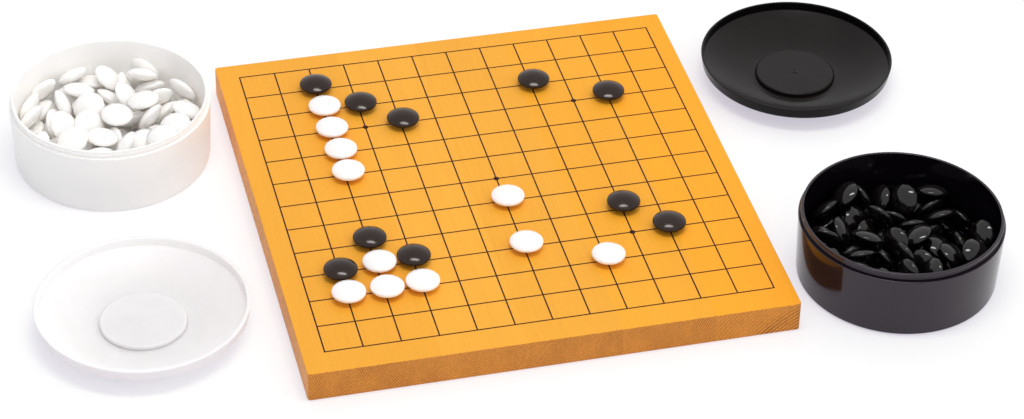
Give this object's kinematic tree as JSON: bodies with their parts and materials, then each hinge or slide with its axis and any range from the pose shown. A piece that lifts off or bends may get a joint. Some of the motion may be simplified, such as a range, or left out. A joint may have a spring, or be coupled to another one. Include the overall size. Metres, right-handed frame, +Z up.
{
  "type": "go set",
  "caption": "Wooden go board with a painted grid and a game laid out on it, and two round plastic bowls of stones with their lids set down open side up.",
  "frame": {"origin": "middle of the board's underside, on the table", "axes": "+X along the board's near edge to the right, +Y away from the near player, +Z up"},
  "size_m": [0.617, 0.3669, 0.049],
  "materials": {
    "board_wood": "clear orange-yellow lacquer",
    "line_paint": "thin dark brown paint",
    "black_glass": "polished, opaque",
    "white_glass": "polished, opaque",
    "black_bowl_plastic": "glossy moulded",
    "black_lid_plastic": "fine satin moulded",
    "white_plastic": "soft gloss moulded"
  },
  "bodies": {
    "board": {"board_stave_1": "board_wood", "board_stave_2": "board_wood", "board_stave_3": "board_wood", "board_stave_4": "board_wood", "board_stave_5": "board_wood", "board_stave_6": "board_wood", "grid_lines": "line_paint"},
    "black_bowl": {"black_bowl": "black_bowl_plastic"},
    "white_bowl": {"white_bowl": "white_plastic"},
    "black_lid": {"black_lid": "black_lid_plastic"},
    "white_lid": {"white_lid": "white_plastic"},
    "black_bowl_stones": {"black_bowl_stones": "black_glass"},
    "white_bowl_stones": {"white_bowl_stones": "white_glass"},
    "black_stone_01": {"black_stone_01": "black_glass"},
    "black_stone_02": {"black_stone_02": "black_glass"},
    "black_stone_03": {"black_stone_03": "black_glass"},
    "black_stone_04": {"black_stone_04": "black_glass"},
    "black_stone_05": {"black_stone_05": "black_glass"},
    "black_stone_06": {"black_stone_06": "black_glass"},
    "black_stone_07": {"black_stone_07": "black_glass"},
    "black_stone_08": {"black_stone_08": "black_glass"},
    "black_stone_09": {"black_stone_09": "black_glass"},
    "black_stone_10": {"black_stone_10": "black_glass"},
    "white_stone_01": {"white_stone_01": "white_glass"},
    "white_stone_02": {"white_stone_02": "white_glass"},
    "white_stone_03": {"white_stone_03": "white_glass"},
    "white_stone_04": {"white_stone_04": "white_glass"},
    "white_stone_05": {"white_stone_05": "white_glass"},
    "white_stone_06": {"white_stone_06": "white_glass"},
    "white_stone_07": {"white_stone_07": "white_glass"},
    "white_stone_08": {"white_stone_08": "white_glass"},
    "white_stone_09": {"white_stone_09": "white_glass"},
    "white_stone_10": {"white_stone_10": "white_glass"},
    "white_stone_11": {"white_stone_11": "white_glass"}
  },
  "joints": [
    {"name": "black_bowl_lift", "type": "slide", "parent": "board", "child": "black_bowl", "axis": [0, 0, 1], "range_m": [0, 0.1]},
    {"name": "white_bowl_lift", "type": "slide", "parent": "board", "child": "white_bowl", "axis": [0, 0, 1], "range_m": [0, 0.1]},
    {"name": "black_lid_lift", "type": "slide", "parent": "board", "child": "black_lid", "axis": [0, 0, 1], "range_m": [0, 0.1]},
    {"name": "white_lid_lift", "type": "slide", "parent": "board", "child": "white_lid", "axis": [0, 0, 1], "range_m": [0, 0.1]},
    {"name": "black_bowl_stones_lift", "type": "slide", "parent": "black_bowl", "child": "black_bowl_stones", "axis": [0, 0, 1], "range_m": [0, 0.06]},
    {"name": "white_bowl_stones_lift", "type": "slide", "parent": "white_bowl", "child": "white_bowl_stones", "axis": [0, 0, 1], "range_m": [0, 0.06]},
    {"name": "black_stone_01_lift", "type": "slide", "parent": "board", "child": "black_stone_01", "axis": [0, 0, 1], "range_m": [0, 0.06]},
    {"name": "black_stone_02_lift", "type": "slide", "parent": "board", "child": "black_stone_02", "axis": [0, 0, 1], "range_m": [0, 0.06]},
    {"name": "black_stone_03_lift", "type": "slide", "parent": "board", "child": "black_stone_03", "axis": [0, 0, 1], "range_m": [0, 0.06]},
    {"name": "black_stone_04_lift", "type": "slide", "parent": "board", "child": "black_stone_04", "axis": [0, 0, 1], "range_m": [0, 0.06]},
    {"name": "black_stone_05_lift", "type": "slide", "parent": "board", "child": "black_stone_05", "axis": [0, 0, 1], "range_m": [0, 0.06]},
    {"name": "black_stone_06_lift", "type": "slide", "parent": "board", "child": "black_stone_06", "axis": [0, 0, 1], "range_m": [0, 0.06]},
    {"name": "black_stone_07_lift", "type": "slide", "parent": "board", "child": "black_stone_07", "axis": [0, 0, 1], "range_m": [0, 0.06]},
    {"name": "black_stone_08_lift", "type": "slide", "parent": "board", "child": "black_stone_08", "axis": [0, 0, 1], "range_m": [0, 0.06]},
    {"name": "black_stone_09_lift", "type": "slide", "parent": "board", "child": "black_stone_09", "axis": [0, 0, 1], "range_m": [0, 0.06]},
    {"name": "black_stone_10_lift", "type": "slide", "parent": "board", "child": "black_stone_10", "axis": [0, 0, 1], "range_m": [0, 0.06]},
    {"name": "white_stone_01_lift", "type": "slide", "parent": "board", "child": "white_stone_01", "axis": [0, 0, 1], "range_m": [0, 0.06]},
    {"name": "white_stone_02_lift", "type": "slide", "parent": "board", "child": "white_stone_02", "axis": [0, 0, 1], "range_m": [0, 0.06]},
    {"name": "white_stone_03_lift", "type": "slide", "parent": "board", "child": "white_stone_03", "axis": [0, 0, 1], "range_m": [0, 0.06]},
    {"name": "white_stone_04_lift", "type": "slide", "parent": "board", "child": "white_stone_04", "axis": [0, 0, 1], "range_m": [0, 0.06]},
    {"name": "white_stone_05_lift", "type": "slide", "parent": "board", "child": "white_stone_05", "axis": [0, 0, 1], "range_m": [0, 0.06]},
    {"name": "white_stone_06_lift", "type": "slide", "parent": "board", "child": "white_stone_06", "axis": [0, 0, 1], "range_m": [0, 0.06]},
    {"name": "white_stone_07_lift", "type": "slide", "parent": "board", "child": "white_stone_07", "axis": [0, 0, 1], "range_m": [0, 0.06]},
    {"name": "white_stone_08_lift", "type": "slide", "parent": "board", "child": "white_stone_08", "axis": [0, 0, 1], "range_m": [0, 0.06]},
    {"name": "white_stone_09_lift", "type": "slide", "parent": "board", "child": "white_stone_09", "axis": [0, 0, 1], "range_m": [0, 0.06]},
    {"name": "white_stone_10_lift", "type": "slide", "parent": "board", "child": "white_stone_10", "axis": [0, 0, 1], "range_m": [0, 0.06]},
    {"name": "white_stone_11_lift", "type": "slide", "parent": "board", "child": "white_stone_11", "axis": [0, 0, 1], "range_m": [0, 0.06]}
  ]
}
